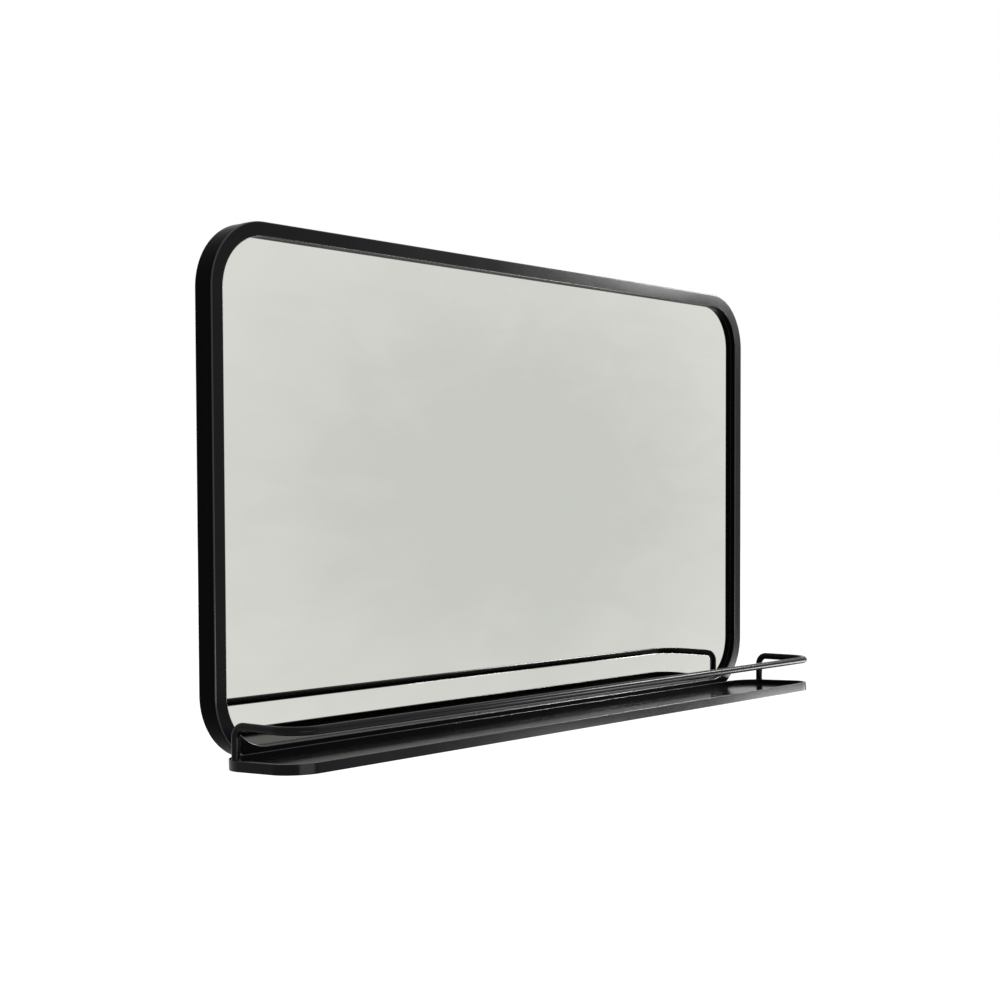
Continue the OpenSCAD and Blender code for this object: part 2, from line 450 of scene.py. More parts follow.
class Finishes:
    """Every finish of the mirror, made once and shared.

    Attributes:
        coat: The powder coat on all steel that the other coats don't cover.
        arris: The coat on rounded edges, where it runs thin and dries smooth.
        wall_coat: The duller coat on the walls square to the face, darker as painted shade.
        sheet_coat: The coat on the flat sheet of the tray, where it flows out evenly.
        silver: The face of the pane.
        ground: The edge of the pane.
        lacquer: The backing paint of the pane.
        board: The back board.
        tape: The glazing tape.
        sheet: The foam sheet.
        zinc: The board screws.
    """

    def __init__(self) -> None:
        """Makes every material."""
        self.coat = PowderCoat().make()
        self.arris = PowderCoat("smooth_coat_on_edges", roughness=(0.16, 0.24), gloss=0.46).make()
        # A darker, duller copy of the coat for the frame's walls: painted shade on its sides.
        self.wall_coat = PowderCoat(
            "dull_coat_on_walls",
            pit=(0.0012, 0.0011, 0.0016),
            peak=(0.0024, 0.0022, 0.0031),
            roughness=(0.24, 0.30),
            gloss=0.012,
        ).make()
        even = PowderCoat("even_coat_on_sheet", roughness=(0.12, 0.14), gloss=0.012)
        self.sheet_coat = even.make()
        self.silver = MirrorSilver().make()
        self.ground = GroundGlass().make()
        self.lacquer = Foam("backing_lacquer", (0.20, 0.21, 0.23), (0.24, 0.25, 0.27)).make()
        self.board = Hardboard().make()
        dark = Foam("glazing_tape_foam", (0.010, 0.010, 0.011), (0.020, 0.020, 0.022))
        self.tape = dark.make()
        self.sheet = Foam("white_sheet_foam", (0.60, 0.60, 0.58), (0.78, 0.78, 0.76)).make()
        self.zinc = ZincPlate().make()


# ---- Mesh tools ----


def place(name: str, data: bpy.types.ID) -> bpy.types.Object:
    """Makes an object and puts it in the scene.

    Args:
        name: Its name.
        data: Its mesh, light or camera.

    Returns:
        The object.
    """
    obj = bpy.data.objects.new(name, data)
    bpy.context.scene.collection.objects.link(obj)
    return obj


class Piece:
    """A mesh in the making."""

    def __init__(self) -> None:
        """Starts an empty mesh whose vertices can carry the number of a profile's corner."""
        self.bm = bmesh.new()
        self.corner = self.bm.verts.layers.int.new("corner")

    def outline(self, points: Iterable[Vector], closed: bool = True) -> Edges:
        """Draws the few points of a profile and numbers them from 1.

        Args:
            points: The profile's corners.
            closed: Whether the last corner joins the first.

        Returns:
            The profile's edges.
        """
        verts = [self.bm.verts.new(p) for p in points]
        for number, vert in enumerate(verts, start=1):
            vert[self.corner] = number
        pairs = list(zip(verts, verts[1:]))
        if closed:
            pairs.append((verts[-1], verts[0]))
        return [self.bm.edges.new(pair) for pair in pairs]

    def straight(self, edges: Edges, along: Vector) -> Edges:
        """Carries a profile straight on.

        Args:
            edges: The profile's edges.
            along: The way and length.

        Returns:
            The edges at the far end.
        """
        made = bmesh.ops.extrude_edge_only(self.bm, edges=edges)["geom"]
        verts = [g for g in made if isinstance(g, bmesh.types.BMVert)]
        bmesh.ops.translate(self.bm, verts=verts, vec=along)
        far = set(verts)
        return [g for g in made if isinstance(g, bmesh.types.BMEdge) and set(g.verts) <= far]

    def turn(
        self, edges: Edges, centre: Vector, axis: Vector, angle: float, steps: int
    ) -> Edges:
        """Carries a profile round an arc.

        Args:
            edges: The profile's edges.
            centre: The arc's centre.
            axis: The axis that it turns about.
            angle: How far it turns, in radians.
            steps: The number of facets.

        Returns:
            The edges at the far end.
        """
        geom = list({v for e in edges for v in e.verts}) + list(edges)
        made = bmesh.ops.spin(
            self.bm, geom=geom, cent=centre, axis=axis, angle=angle, steps=steps, use_merge=False
        )
        return [g for g in made["geom_last"] if isinstance(g, bmesh.types.BMEdge)]

    def soften(
        self, corners: Iterable[int], width: float, segments: int, finish: Coat = Coat.MAIN
    ) -> None:
        """Rounds the long edges that run from given corners of the profile.

        Args:
            corners: The numbers of the profile's corners.
            width: The width of the rounding.
            segments: The number of facets across it.
            finish: The coat that the rounding takes.
        """
        chosen = set(corners)
        numbered = [(edge, {vert[self.corner] for vert in edge.verts}) for edge in self.bm.edges]
        edges = [edge for edge, ends in numbered if len(ends) == 1 and ends <= chosen]
        for face in self.bevel(edges, width, segments):
            face.material_index = finish

    def soften_sharp(self, width: float, segments: int, over: float = 40.0) -> None:
        """Rounds every edge that turns more than an angle.

        Args:
            width: The width of the rounding.
            segments: The number of facets across it.
            over: The least angle between the faces, in degrees.
        """
        limit = radians(over)
        edges = [e for e in self.bm.edges if len(e.link_faces) == 2 and e.calc_face_angle() > limit]
        self.bevel(edges, width, segments)

    def bevel(self, edges: Edges, width: float, segments: int) -> list[bmesh.types.BMFace]:
        """Bevels edges.

        Args:
            edges: The edges.
            width: The width of the bevel.
            segments: The number of facets across it.

        Returns:
            The faces of the bevel.
        """
        made = bmesh.ops.bevel(
            self.bm,
            geom=list(edges),
            offset=width,
            offset_type="OFFSET",
            affect="EDGES",
            segments=segments,
            profile=0.5,
            material=-1,
            clamp_overlap=True,
        )
        return made["faces"]

    def close(self) -> None:
        """Joins what meets and turns all faces outwards."""
        bmesh.ops.remove_doubles(self.bm, verts=self.bm.verts, dist=0.002 * MM)
        bmesh.ops.recalc_face_normals(self.bm, faces=self.bm.faces)

    def to_mesh(self, name: str) -> bpy.types.Mesh:
        """Ends the piece as a plain mesh.

        Args:
            name: The mesh's name.

        Returns:
            The mesh.
        """
        mesh = bpy.data.meshes.new(name)
        self.bm.to_mesh(mesh)
        self.bm.free()
        return mesh

    def finish(
        self,
        name: str,
        materials: Sequence[bpy.types.Material],
        slot: str,
        node: str,
        smooth_under: float = 32.0,
    ) -> bpy.types.Object:
        """Ends the piece as an object with smooth faces and sharp creases, tied to the part.

        Args:
            name: The object's name.
            materials: Its materials.
            slot: The record's material slot. Not used.
            node: The part's node that it stands for.
            smooth_under: The angle in degrees under which two faces shade as one.

        Returns:
            The object.
        """
        limit = radians(smooth_under)
        for face in self.bm.faces:
            face.smooth = True
        for edge in self.bm.edges:
            edge.smooth = len(edge.link_faces) == 2 and edge.calc_face_angle() < limit
        obj = place(name, self.to_mesh(name))
        for material in materials:
            obj.data.materials.append(material)
        even = obj.modifiers.new("even_shading", "WEIGHTED_NORMAL")
        even.keep_sharp = True
        even.weight = 50
        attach(obj, "root")
        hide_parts(node)
        LOG.info("%s: %d faces", name, len(obj.data.polygons))
        return obj


@dataclass(frozen=True)
class Loop:
    """A rounded rectangle that a profile is carried round.

    Attributes:
        width: Its width along X.
        low: The lower side, along Z when upright and along Y when level.
        high: The upper side.
        low_radius: The radius of the two lower corners.
        high_radius: The radius of the two upper corners.
        stance: Upright round the mirror, or level for the tray.
        steps: Facets in each corner.
    """

    width: float
    low: float
    high: float
    low_radius: float
    high_radius: float
    stance: Stance
    steps: int = 28

    def stand(self, piece: Piece) -> None:
        """Turns a loop that was drawn level, with the distance from the wall up, to its stance.

        Args:
            piece: The mesh to turn.
        """
        if self.stance is Stance.UPRIGHT:
            turn = Matrix.Rotation(QUARTER, 4, "X")
            bmesh.ops.transform(piece.bm, matrix=turn, verts=piece.bm.verts)

    def carry(self, profile: Sequence[Point2]) -> Piece:
        """Carries a closed profile once round.

        Args:
            profile: Corners as the distance out from the loop and the height.

        Returns:
            The closed mesh.
        """
        piece = Piece()
        up = Vector((0, 0, 1))
        side = self.width / 2
        low_x, low_y = side - self.low_radius, self.low + self.low_radius
        high_x, high_y = side - self.high_radius, self.high - self.high_radius
        edges = piece.outline(Vector((side + out, low_y, rise)) for out, rise in profile)
        route = (
            ((0, high_y - low_y, 0), (high_x, high_y, 0)),
            ((-2 * high_x, 0, 0), (-high_x, high_y, 0)),
            ((0, low_y - high_y, 0), (-low_x, low_y, 0)),
            ((2 * low_x, 0, 0), (low_x, low_y, 0)),
        )
        for run, centre in route:
            edges = piece.straight(edges, Vector(run))
            edges = piece.turn(edges, Vector(centre), up, QUARTER, self.steps)
        piece.close()
        self.stand(piece)
        return piece

    def plate(self, inset: float, bottom: float, top: float) -> Piece:
        """A flat plate that follows the loop.

        Args:
            inset: How far its edge stays inside the loop.
            bottom: The height of its lower face.
            top: The height of its upper face.

        Returns:
            The closed mesh.
        """
        piece = Piece()
        bmesh.ops.create_grid(piece.bm, x_segments=1, y_segments=1, size=0.5)
        spread = Vector((self.width - 2 * inset, self.high - self.low - 2 * inset, 1))
        bmesh.ops.scale(piece.bm, vec=spread, verts=piece.bm.verts)
        middle = Vector((0, (self.low + self.high) / 2, bottom))
        bmesh.ops.translate(piece.bm, vec=middle, verts=piece.bm.verts)
        for radius, upper in ((self.low_radius, False), (self.high_radius, True)):
            corners = [v for v in piece.bm.verts if (v.co.y > middle.y) is upper]
            bmesh.ops.bevel(
                piece.bm,
                geom=corners,
                offset=radius - inset,
                offset_type="OFFSET",
                affect="VERTICES",
                segments=self.steps,
                profile=0.5,
                material=-1,
            )
        made = bmesh.ops.extrude_face_region(piece.bm, geom=piece.bm.faces[:])["geom"]
        verts = [g for g in made if isinstance(g, bmesh.types.BMVert)]
        bmesh.ops.translate(piece.bm, vec=Vector((0, 0, top - bottom)), verts=verts)
        piece.close()
        self.stand(piece)
        return piece


def dress(node: bpy.types.Object, material: bpy.types.Material, round_edges: float = 0.0) -> None:
    """Gives a node of the part its finish and, where wanted, softly rounded edges.

    Args:
        node: The node.
        material: Its finish.
        round_edges: The width of the rounding, or 0 for none.
    """
    node.data.materials.clear()
    node.data.materials.append(material)
    if round_edges > 0:
        weld = node.modifiers.new("joined_corners", "WELD")
        weld.merge_threshold = 0.001 * MM
        bevel = node.modifiers.new("rounded_edges", "BEVEL")
        bevel.width = round_edges
        bevel.segments = 2
        bevel.limit_method = "ANGLE"
        bevel.angle_limit = radians(50)
        even = node.modifiers.new("even_shading", "WEIGHTED_NORMAL")
        even.keep_sharp = True
    LOG.info("%s: dressed in %s", node.name, material.name)


# ---- The mirror ----


@dataclass
class FrameShell:
    """The steel frame: a flat front ring, and a band behind it that stands back a little.

    Attributes:
        width: The frame's width.
        height: Its height.
        above: How far its top stands above the hanging holes.
        depth: From the wall to the face.
        corner_radius: The outer corners.
        face: The width of its flat face.
        ring_depth: The depth of the ring at its outside.
        lip: The thickness of the lip in front of the glass.
        land: The width of the land outside the rebate.
        wall: The band's wall.
        step: How far the band stands back from the ring's side.
        softness: The rounding of the face's edges.
    """

    width: float = 900 * MM
    height: float = 500 * MM
    above: float = 21 * MM
    depth: float = 23 * MM
    corner_radius: float = 65 * MM
    face: float = 14 * MM
    ring_depth: float = 8.5 * MM
    lip: float = 6.8 * MM
    land: float = 5.5 * MM
    wall: float = 2 * MM
    step: float = 0.5 * MM
    softness: float = 1 * MM

    @property
    def loop(self) -> Loop:
        """The frame's outline."""
        low, radius = self.above - self.height, self.corner_radius
        return Loop(self.width, low, self.above, radius, radius, Stance.UPRIGHT)

    @property
    def inside(self) -> float:
        """How far the inside of the band lies in from the side of the ring."""
        return self.step + self.wall

    def front_ring(self, finishes: Finishes) -> None:
        """The flat ring with a rebate behind its lip.

        Args:
            finishes: The mirror's finishes.
        """
        lip_back = self.depth - self.lip
        land_back = self.depth - self.ring_depth
        piece = self.loop.carry(
            [
                (0, self.depth),
                (-self.face, self.depth),
                (-self.face, lip_back),
                (-self.land, lip_back),
                (-self.land, land_back),
                (0, land_back),
            ]
        )
        piece.bm.normal_update()
        # Walls square to the face take the darker coat: painted shade on the sides and reveals.
        for face in piece.bm.faces:
            is_wall = abs(face.normal.y) < 0.5
            face.material_index = Coat.WALL if is_wall else Coat.MAIN
        piece.soften((1, 2), self.softness, 4, Coat.ARRIS)
        piece.soften((3, 6), self.softness / 3, 2, Coat.WALL)
        coats = [finishes.coat, finishes.arris, finishes.wall_coat]
        piece.finish("ring_of_frame", coats, "frame_paint", "front_ring")

    def rear_band(self, finishes: Finishes) -> None:
        """The band that carries the ring off the wall.

        Args:
            finishes: The mirror's finishes.
        """
        land_back = self.depth - self.ring_depth
        piece = self.loop.carry(
            [(-self.step, 0), (-self.step, land_back), (-self.inside, land_back), (-self.inside, 0)]
        )
        piece.soften((1, 4), self.wall / 6, 2)
        # The band takes the darker coat: painted shade on its walls.
        piece.finish("band_of_frame", [finishes.wall_coat], "frame_paint", "rear_band")


@dataclass
class Pane:
    """The silvered pane.

    Attributes:
        shell: The frame that it sits in.
        inset: From the frame's outside in to the pane's edge.
        front: The distance from the wall to the pane's front.
        thickness: The glass.
        arris: The ground chamfer round both faces.
    """

    shell: FrameShell
    inset: float = 6 * MM
    front: float = 15.5 * MM
    thickness: float = 4 * MM
    arris: float = 0.6 * MM

    def build(self, finishes: Finishes) -> bpy.types.Object:
        """Builds the pane with a mirror face, a ground edge and a painted back.

        Args:
            finishes: The mirror's finishes.

        Returns:
            The pane.
        """
        piece = self.shell.loop.plate(self.inset, self.front - self.thickness, self.front)
        piece.soften_sharp(self.arris, 1, over=60.0)
        front, edge, back = range(3)
        flat = 0.99
        for face in piece.bm.faces:
            facing = face.normal.y
            face.material_index = front if facing < -flat else back if facing > flat else edge
        materials = [finishes.silver, finishes.ground, finishes.lacquer]
        return piece.finish("silvered_pane", materials, "silvered_glass", "mirror_glass", 20.0)


@dataclass
class BoardFixings:
    """The lugs that hold the back board, and their screws.

    Attributes:
        shell: The frame that the lugs are welded to.
        board_back: The distance from the wall to the board's back.
        lug_width: A lug's width along the frame.
        reach: How far a lug's foot reaches in over the board.
        sheet: The lugs' sheet.
        leg: The depth of the leg on the band.
        along: The number of lugs along the top, and along the bottom.
        upright: The number at each side.
        shank: A screw's diameter.
        bite: How deep a screw enters the board.
        head: The diameter of its head.
        head_rise: The height of its head.
        drive: The width across the cross in its head.
    """

    shell: FrameShell
    board_back: float = 6.5 * MM
    lug_width: float = 16 * MM
    reach: float = 15 * MM
    sheet: float = 1.5 * MM
    leg: float = 4.5 * MM
    along: int = 5
    upright: int = 2
    shank: float = 2.9 * MM
    bite: float = 2.6 * MM
    head: float = 5.6 * MM
    head_rise: float = 1.8 * MM
    drive: float = 3 * MM

    def places(self) -> list[Matrix]:
        """Where each lug sits: its local Z points to the wall, and Y out to the band.

        Returns:
            A matrix for each lug.
        """
        shell = self.shell
        straight_w = shell.width - 2 * shell.corner_radius - self.lug_width
        straight_h = shell.height - 2 * shell.corner_radius - self.lug_width
        middle = shell.above - shell.height / 2
        spots: list[tuple[float, float, Facing]] = []
        for i in range(self.along):
            x = straight_w * (i / (self.along - 1) - 0.5)
            spots.append((x, shell.height / 2 - shell.inside, Facing.DOWN))
            spots.append((x, shell.inside - shell.height / 2, Facing.UP))
        for i in range(self.upright):
            z = straight_h / 2 * (i / max(self.upright - 1, 1) - 0.5)
            spots.append((shell.width / 2 - shell.inside, z, Facing.LEFT))
            spots.append((shell.inside - shell.width / 2, z, Facing.RIGHT))
        return [
            Matrix.Translation((x, -self.board_back, middle + z))
            @ Matrix.Rotation(radians(facing.value), 4, "Y")
            @ Matrix.Rotation(-QUARTER, 4, "X")
            for x, z, facing in spots
        ]

    def repeat(self, single: Piece) -> Piece:
        """Copies one lug or screw to every place.

        Args:
            single: The mesh in a lug's own frame.

        Returns:
            All of them in one mesh.
        """
        mesh = single.to_mesh("single")
        every = Piece()
        for spot in self.places():
            before = set(every.bm.verts)
            every.bm.from_mesh(mesh)
            fresh = [v for v in every.bm.verts if v not in before]
            bmesh.ops.transform(every.bm, matrix=spot, verts=fresh)
        bpy.data.meshes.remove(mesh)
        bmesh.ops.recalc_face_normals(every.bm, faces=every.bm.faces)
        return every

    def lugs(self, finishes: Finishes) -> None:
        """Bent sheet lugs, each with a round fold.

        Args:
            finishes: The mirror's finishes.
        """
        piece = Piece()
        half = self.lug_width / 2
        start = [Vector((x, 0, self.sheet - self.leg)) for x in (-half, half)]
        edges = piece.outline(start, closed=False)
        fold = piece.straight(edges, Vector((0, 0, self.leg)))
        piece.straight(fold, Vector((0, -self.reach, 0)))
        fold_radius = self.sheet * 1.2
        piece.bevel(fold, fold_radius, 5)
        bmesh.ops.recalc_face_normals(piece.bm, faces=piece.bm.faces)
        bmesh.ops.solidify(piece.bm, geom=piece.bm.faces[:], thickness=self.sheet)
        piece.close()
        piece.soften_sharp(self.sheet / 8, 2, over=60.0)
        every = self.repeat(piece)
        every.finish("lugs_of_board", [finishes.coat], "frame_paint", "board_lugs")

    def screw_body(self) -> Piece:
        """One pan-head screw, turned about its own Z, with the head towards the wall.

        Returns:
            The closed mesh.
        """
        piece = Piece()
        seat = self.sheet
        rim = seat + self.head_rise * 0.45
        crown = seat + self.head_rise * 0.93
        half, shank = self.head / 2, self.shank / 2
        profile = (
            (0, -self.bite),
            (shank, shank - self.bite),
            (shank, seat),
            (half, seat),
            (half, rim),
            (half * 0.68, crown),
            (0, seat + self.head_rise),
        )
        edges = piece.outline((Vector((x, 0, z)) for x, z in profile), closed=False)
        piece.turn(edges, Vector(), Vector((0, 0, 1)), 4 * QUARTER, 28)
        piece.close()
        piece.soften_sharp(self.head / 40, 2, over=25.0)
        return piece

    def screw_cross(self) -> Piece:
        """What the cross in a screw's head is cut with: two bars that narrow downwards.

        Returns:
            The two bars.
        """
        piece = Piece()
        size = Vector((self.drive, self.drive * 0.22, self.head_rise * 1.3))
        narrow = Vector((0.45, 1, 1))
        for turn in (0.0, QUARTER):
            verts = bmesh.ops.create_cube(piece.bm, size=1.0)["verts"]
            bmesh.ops.scale(piece.bm, vec=size, verts=verts)
            bmesh.ops.scale(piece.bm, vec=narrow, verts=[v for v in verts if v.co.z < 0])
            across = Matrix.Rotation(turn, 3, "Z")
            bmesh.ops.rotate(piece.bm, cent=Vector(), matrix=across, verts=verts)
        lift = Vector((0, 0, self.sheet + self.head_rise * 1.05))
        bmesh.ops.translate(piece.bm, vec=lift, verts=piece.bm.verts)
        return piece

    def screws(self, finishes: Finishes) -> None:
        """Pan-head screws with a cross in each head.

        Args:
            finishes: The mirror's finishes.
        """
        whole = place("screw_body", self.screw_body().to_mesh("screw_body"))
        tool = place("screw_cross", self.screw_cross().to_mesh("screw_cross"))
        cut = whole.modifiers.new("cross", "BOOLEAN")
        cut.operation = "DIFFERENCE"
        cut.solver = "EXACT"
        cut.use_self = True
        cut.object = tool
        bpy.context.view_layer.update()
        ready = whole.evaluated_get(bpy.context.evaluated_depsgraph_get())
        single = Piece()
        single.bm.from_mesh(ready.to_mesh())
        ready.to_mesh_clear()
        for mesh in (whole.data, tool.data):
            bpy.data.meshes.remove(mesh)
        shift = Vector((0, -self.reach * 0.6, 0))
        bmesh.ops.translate(single.bm, vec=shift, verts=single.bm.verts)
        every = self.repeat(single)
        every.finish("screws_of_board", [finishes.zinc], "zinc_screws", "board_screws")


@dataclass
class Tray:
    """The rim of the tray and the guard rail above it.

    Attributes:
        width: The tray's width.
        back: Where the rim meets the frame's face.
        front: Where it ends.
        front_radius: The front corners.
        rear_radius: The rear corners.
        rim_low: The height of the rim's lower edge at the frame.
        rim_high: The height of its upper edge there.
        slope: The angle in degrees by which the tray rises towards its front.
        rim: The rim's thickness.
        softness: The rounding of its edges.
        rod: The diameter of the rail.
        rod_inset: From the outside of the rim in to the rod's middle.
        rod_rise: From the top of the rim at its front up to the rod's middle.
        rod_bend: The bend at the top of a post.
        post: Where the posts stand.
        weld: The size of the weld at the foot of a post.
        facets: Facets round the rod, in the bend of a post and in a corner.
    """

    width: float = 908 * MM
    back: float = -23 * MM
    front: float = -130 * MM
    front_radius: float = 30 * MM
    rear_radius: float = 34 * MM
    rim_low: float = -480 * MM
    rim_high: float = -470 * MM
    slope: float = 2.0
    rim: float = 3 * MM
    softness: float = 0.5 * MM
    rod: float = 8 * MM
    rod_inset: float = 3 * MM
    rod_rise: float = 28 * MM
    rod_bend: float = 10 * MM
    post: float = -50.5 * MM
    weld: float = 1 * MM
    facets: tuple[int, int, int] = (32, 14, 24)

    @property
    def tilt(self) -> Matrix:
        """Tilts what is drawn level about the line where the rim's top meets the frame.

        Returns:
            The matrix.
        """
        hinge = Vector((0, self.back, self.rim_high))
        turn = Matrix.Rotation(-radians(self.slope), 4, "X")
        return Matrix.Translation(hinge) @ turn @ Matrix.Translation(-hinge)

    def rim_bar(self, finishes: Finishes) -> None:
        """The flat bar round the tray.

        Args:
            finishes: The mirror's finishes.
        """
        radii = (self.front_radius, self.rear_radius)
        loop = Loop(self.width, self.front, self.back, *radii, Stance.LEVEL)
        low, high = self.rim_low, self.rim_high
        piece = loop.carry([(0, low), (0, high), (-self.rim, high), (-self.rim, low)])
        piece.soften((2, 3), self.softness, 3, Coat.ARRIS)
        piece.soften((1, 4), self.softness / 2, 2)
        bmesh.ops.transform(piece.bm, matrix=self.tilt, verts=piece.bm.verts)
        coats = [finishes.coat, finishes.arris]
        piece.finish("rim_of_tray", coats, "shelf_paint", "tray_rim")

    def rail(self, finishes: Finishes) -> None:
        """The bent rod with a weld fillet at each foot.

        Args:
            finishes: The mirror's finishes.
        """
        piece = Piece()
        round_rod, in_bend, in_corner = self.facets
        side = self.width / 2 - self.rod_inset
        front = self.front + self.rod_inset
        corner = self.front_radius - self.rod_inset
        rise = (self.back - self.front) * sin(radians(self.slope))
        middle = self.rim_high + rise + self.rod_rise
        across, up = Vector((1, 0, 0)), Vector((0, 0, 1))
        ground = self.rim_high + (self.back - self.post) * tan(radians(self.slope))
        start = ground - self.weld / 2
        matrix = Matrix.Translation((-side, self.post, start))
        foot = bmesh.ops.create_circle(
            piece.bm, segments=round_rod, radius=self.rod / 2, matrix=matrix
        )
        edges = list({e for v in foot["verts"] for e in v.link_edges})
        over_post = Vector((0, self.post - self.rod_bend, middle - self.rod_bend))
        height = Vector((0, 0, over_post.z - start))
        reach = Vector((0, front + corner - over_post.y, 0))
        corner_x = side - corner
        route = (
            (height, over_post, across, QUARTER, in_bend),
            (reach, Vector((-corner_x, front + corner, 0)), up, QUARTER, in_corner),
            (2 * corner_x * across, Vector((corner_x, front + corner, 0)), up, QUARTER, in_corner),
            (-reach, over_post, across, -QUARTER, in_bend),
        )
        for run, *bend in route:
            edges = piece.turn(piece.straight(edges, run), *bend)
        piece.straight(edges, -height)
        for x in (-side, side):
            self.weld_fillet(piece, Vector((x, self.post, start)), self.weld / 2)
        cut = bmesh.ops.bisect_plane(
            piece.bm,
            geom=piece.bm.verts[:] + piece.bm.edges[:] + piece.bm.faces[:],
            plane_co=Vector((0, self.back, self.rim_high)),
            plane_no=self.tilt.to_3x3() @ up,
            clear_inner=True,
        )
        feet = [g for g in cut["geom_cut"] if isinstance(g, bmesh.types.BMEdge)]
        bmesh.ops.holes_fill(piece.bm, edges=feet, sides=64)
        piece.close()
        piece.finish("rod_of_rail", [finishes.coat], "shelf_paint", "guard_rail", 50.0)

    def weld_fillet(self, piece: Piece, foot: Vector, skirt: float) -> None:
        """Adds the hollow fillet of weld round a post's foot.

        Args:
            piece: The mesh that it joins.
            foot: The middle of the post's foot.
            skirt: How far it first rises straight, to be cut off level with the rim.
        """
        before = set(piece.bm.edges)
        outer = self.rod / 2 + self.weld
        base = piece.bm.verts.new(foot + Vector((outer, 0, 0)))
        start = piece.bm.verts.new(base.co + Vector((0, 0, skirt)))
        piece.bm.edges.new((start, base))
        bmesh.ops.spin(
            piece.bm,
            geom=[start],
            cent=start.co + Vector((0, 0, self.weld)),
            axis=Vector((0, 1, 0)),
            angle=QUARTER,
            steps=5,
            use_merge=False,
        )
        chain = [e for e in piece.bm.edges if e not in before]
        piece.turn(chain, foot, Vector((0, 0, 1)), 4 * QUARTER, self.facets[0])


# ---- The studio ----


@dataclass(frozen=True)
class Softbox:
    """A soft lamp.

    Attributes:
        name: Its name.
        at: Where it hangs.
        size: Its width and height.
        power: Its power in watts.
        towards: The point that it faces, by the middle of the mirror.
    """

    name: str
    at: Triple
    size: Point2
    power: float
    towards: Triple = (0.0, 0.0, -0.24)

    def hang(self, lit: bpy.types.Collection) -> None:
        """Hangs the lamp.

        Args:
            lit: The light linking, which says what the lamp lights.
        """
        data = bpy.data.lights.new(self.name, "AREA")
        data.shape = "RECTANGLE"
        data.size, data.size_y = self.size
        data.energy = self.power
        lamp = place(self.name, data)
        aim = (Vector(self.towards) - Vector(self.at)).to_track_quat("-Z", "Y")
        lamp.matrix_world = Matrix.Translation(self.at) @ aim.to_matrix().to_4x4()
        lamp.visible_camera = False
        lamp.light_linking.receiver_collection = lit


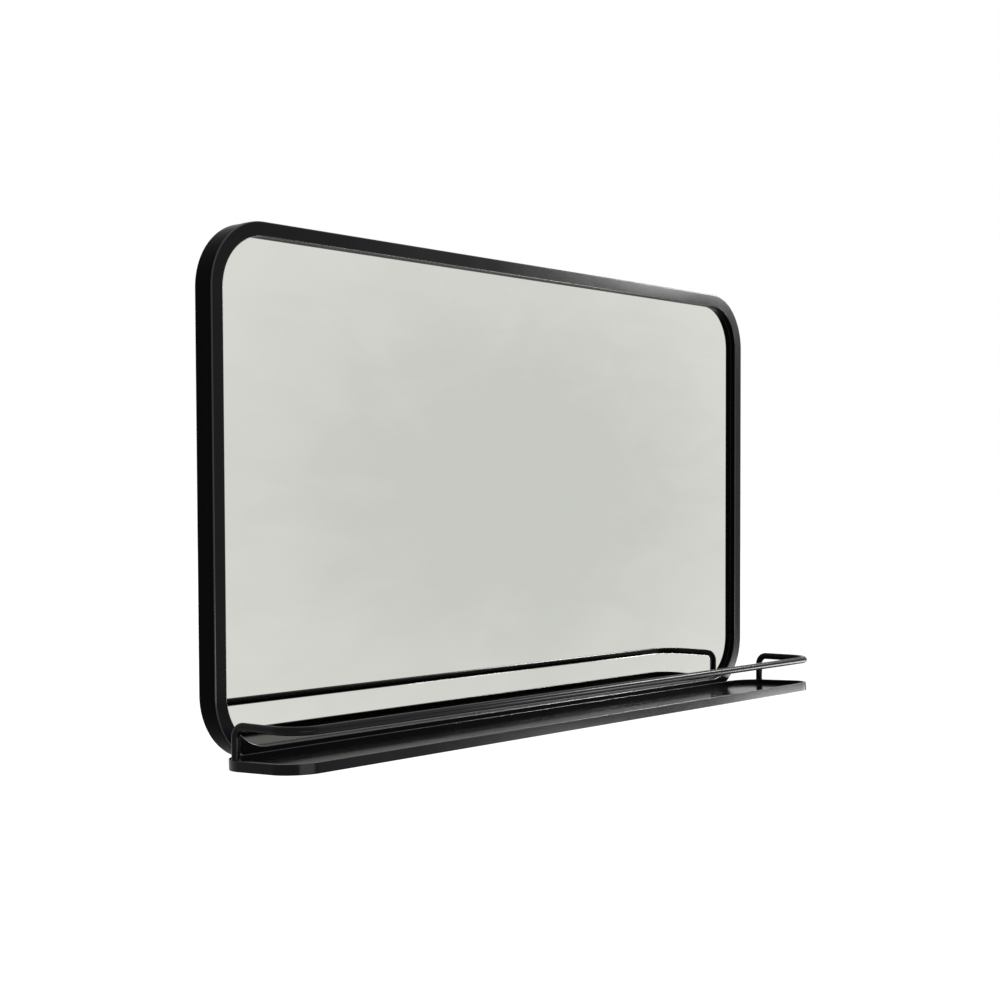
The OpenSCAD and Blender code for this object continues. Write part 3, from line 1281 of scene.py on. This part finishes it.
@dataclass
class Studio:
    """A white studio: floor, world, lamps and camera.

    Attributes:
        floor_height: The floor, under the hanging mirror.
        floor_size: The side of the floor.
        floor_glow: How much the floor glows to the camera, so that it is seen as white.
        ambient: The strength of the world's light.
        lamps: The lamps.
        eye: The camera's place.
        heading: Its turn from +Y towards +X, in degrees.
        tilt: Its tilt upwards, in degrees.
        roll: Its roll, in degrees.
        lens: Its focal length in millimetres on a 36 mm sensor.
        rise: The vertical shift of its frame.
    """

    floor_height: float = -1.3
    floor_size: float = 60.0
    floor_glow: float = 0.75
    ambient: float = 0.45
    lamps: tuple[Softbox, ...] = (
        Softbox("high_side_lamp", (1.267, -0.530, 0.270), (0.4, 0.2), 12.0),
        Softbox("low_side_lamp", (0.980, -0.385, -0.619), (0.3, 0.2), 4.2),
        Softbox("low_corner_lamp", (0.740, -0.680, -0.680), (0.2, 0.2), 2.3),
        Softbox("front_lamp", (-0.500, -1.270, -0.555), (1.2, 0.2), 5.2),
    )
    eye: tuple[float, float, float] = (-1.51703, -1.22936, -0.23683)
    heading: float = 50.703
    tilt: float = -2.3829
    roll: float = -0.189
    lens: float = 63.483
    rise: float = 0.0736

    @staticmethod
    def seen(tree: bpy.types.NodeTree, *rays: str) -> Socket:
        """1 for a ray of any of the kinds named, and 0 for the others.

        Args:
            tree: The node tree to add it to.
            *rays: Outputs of the Light Path node.

        Returns:
            The value.
        """
        path = tree.nodes.new("ShaderNodeLightPath")
        total = path.outputs[rays[0]]
        for name in rays[1:]:
            most = tree.nodes.new("ShaderNodeMath")
            most.operation = "MAXIMUM"
            tree.links.new(total, most.inputs[0])
            tree.links.new(path.outputs[name], most.inputs[1])
            total = most.outputs[0]
        return total

    def floor_finish(self) -> bpy.types.Material:
        """A pale floor that takes a shadow, and is white to the camera, to metal and to glass.

        Returns:
            The material.
        """
        look = Shading("pale_floor")
        look.set(base_color=(0.8, 0.8, 0.8), roughness=0.9, specular_ior_level=0.0)
        look.set(emission_color=(1.0, 1.0, 1.0))
        tree = look.material.node_tree
        to_camera = self.seen(tree, "Is Camera Ray")
        look.wire(look.ranged(to_camera, (0.0, 1.0), (0.0, self.floor_glow)), "Emission Strength")
        white = look.nodes.new("ShaderNodeEmission")
        mix = look.nodes.new("ShaderNodeMixShader")
        mirrored = self.seen(tree, "Is Glossy Ray", "Is Transmission Ray")
        for source, socket in zip((mirrored, look.shader.outputs[0], white.outputs[0]), mix.inputs):
            look.links.new(source, socket)
        look.links.new(mix.outputs[0], look.nodes["Material Output"].inputs["Surface"])
        return look.material

    def lay_floor(self) -> None:
        """Lays the floor."""
        plane = Piece()
        bmesh.ops.create_grid(plane.bm, x_segments=1, y_segments=1, size=self.floor_size / 2)
        bmesh.ops.translate(plane.bm, vec=Vector((0, 0, self.floor_height)), verts=plane.bm.verts)
        floor = place("floor", plane.to_mesh("floor"))
        floor.data.materials.append(self.floor_finish())

    def light_world(self) -> None:
        """Makes the world white to look at, and plainly bright as a light."""
        world = bpy.data.worlds.new("studio")
        world.use_nodes = True
        tree = world.node_tree
        background = tree.nodes["Background"]
        background.inputs["Color"].default_value = (1.0, 1.0, 1.0, 1.0)
        level = tree.nodes.new("ShaderNodeMapRange")
        level.inputs["To Min"].default_value = self.ambient
        level.inputs["To Max"].default_value = 1.0
        white = self.seen(tree, "Is Camera Ray", "Is Glossy Ray", "Is Transmission Ray")
        tree.links.new(white, level.inputs["Value"])
        tree.links.new(level.outputs["Result"], background.inputs["Strength"])
        bpy.context.scene.world = world

    def place_camera(self) -> None:
        """Sets the camera where the photograph was taken from."""
        data = bpy.data.cameras.new("photo_camera")
        data.sensor_width = 36.0
        data.lens = self.lens
        data.shift_y = self.rise
        data.clip_end = 200.0
        camera = place("photo_camera", data)
        camera.matrix_world = (
            Matrix.Translation(self.eye)
            @ Matrix.Rotation(-radians(self.heading), 4, "Z")
            @ Matrix.Rotation(QUARTER + radians(self.tilt), 4, "X")
            @ Matrix.Rotation(radians(self.roll), 4, "Z")
        )
        bpy.context.scene.camera = camera

    def set_up(self, pane: bpy.types.Object) -> None:
        """Sets up the whole studio.

        Args:
            pane: The mirror's pane, which the lamps don't light, so that it doesn't show them.
        """
        bpy.context.scene.view_settings.view_transform = "Standard"
        self.lay_floor()
        self.light_world()
        lit = bpy.data.collections.new("mirror_pane")
        lit.objects.link(pane)
        lit.collection_objects[0].light_linking.link_state = "EXCLUDE"
        for lamp in self.lamps:
            lamp.hang(lit)
        self.place_camera()
        LOG.info("studio: %d lamps", len(self.lamps))


def dress_nodes(nodes: dict[str, bpy.types.Object], finishes: Finishes) -> None:
    """Finishes the nodes of the part whose own shapes are shown.

    Args:
        nodes: The part's nodes by name.
        finishes: The mirror's finishes.
    """
    dress(nodes["glazing_tape"], finishes.tape)
    dress(nodes["foam_backing"], finishes.sheet)
    dress(nodes["back_board"], finishes.board)
    dress(nodes["tray_floor"], finishes.sheet_coat, 0.2 * MM)
    for side in ("left", "right"):
        dress(nodes[f"hanger_{side}"], finishes.coat, 0.25 * MM)


def main() -> None:
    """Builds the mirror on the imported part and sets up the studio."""
    logging.basicConfig(level=logging.INFO, format="%(name)s %(message)s")
    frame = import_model()
    finishes = Finishes()
    shell, tray = FrameShell(), Tray()
    fixings = BoardFixings(shell)
    makers: tuple[Callable[[Finishes], None], ...] = (
        shell.front_ring,
        shell.rear_band,
        fixings.lugs,
        fixings.screws,
        tray.rim_bar,
        tray.rail,
    )
    for make in makers:
        make(finishes)
    pane = Pane(shell).build(finishes)
    dress_nodes(frame["nodes"], finishes)
    Studio().set_up(pane)


if __name__ == "__main__":
    main()
